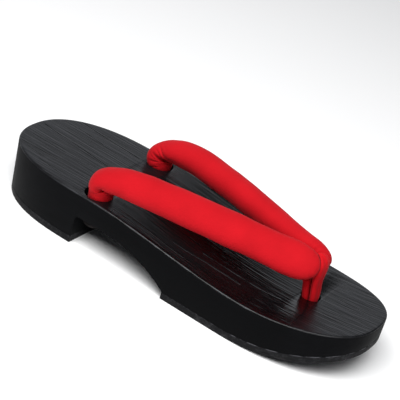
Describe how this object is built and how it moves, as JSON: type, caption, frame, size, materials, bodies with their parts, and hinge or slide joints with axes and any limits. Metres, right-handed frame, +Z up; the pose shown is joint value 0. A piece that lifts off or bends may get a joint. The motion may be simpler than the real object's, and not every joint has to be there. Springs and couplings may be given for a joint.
{
  "type": "geta sandal",
  "caption": "Wooden geta sandal with a heel block, arched waist and raised toe, rubber pads underneath and a padded V strap held by a front loop.",
  "frame": {"origin": "middle of the sole's plan at floor level, where the rubber pads stand", "axes": "+X from heel to toe along the sole, +Y to the wearer's left, +Z up from the floor"},
  "size_m": [0.2449, 0.084, 0.0568],
  "materials": {
    "stained_wood": "black stain, brushed open grain, low sheen",
    "sole_rubber": "matte black with a fine speckle",
    "strap_cloth": "matte red plain-weave cloth over soft padding",
    "loop_cloth": "matte red cloth, gathered lengthwise"
  },
  "bodies": {
    "root": {"wood_base": "stained_wood", "forefoot_rubber": "sole_rubber", "heel_rubber": "sole_rubber", "v_strap": "strap_cloth", "front_loop": "loop_cloth"}
  },
  "joints": []
}
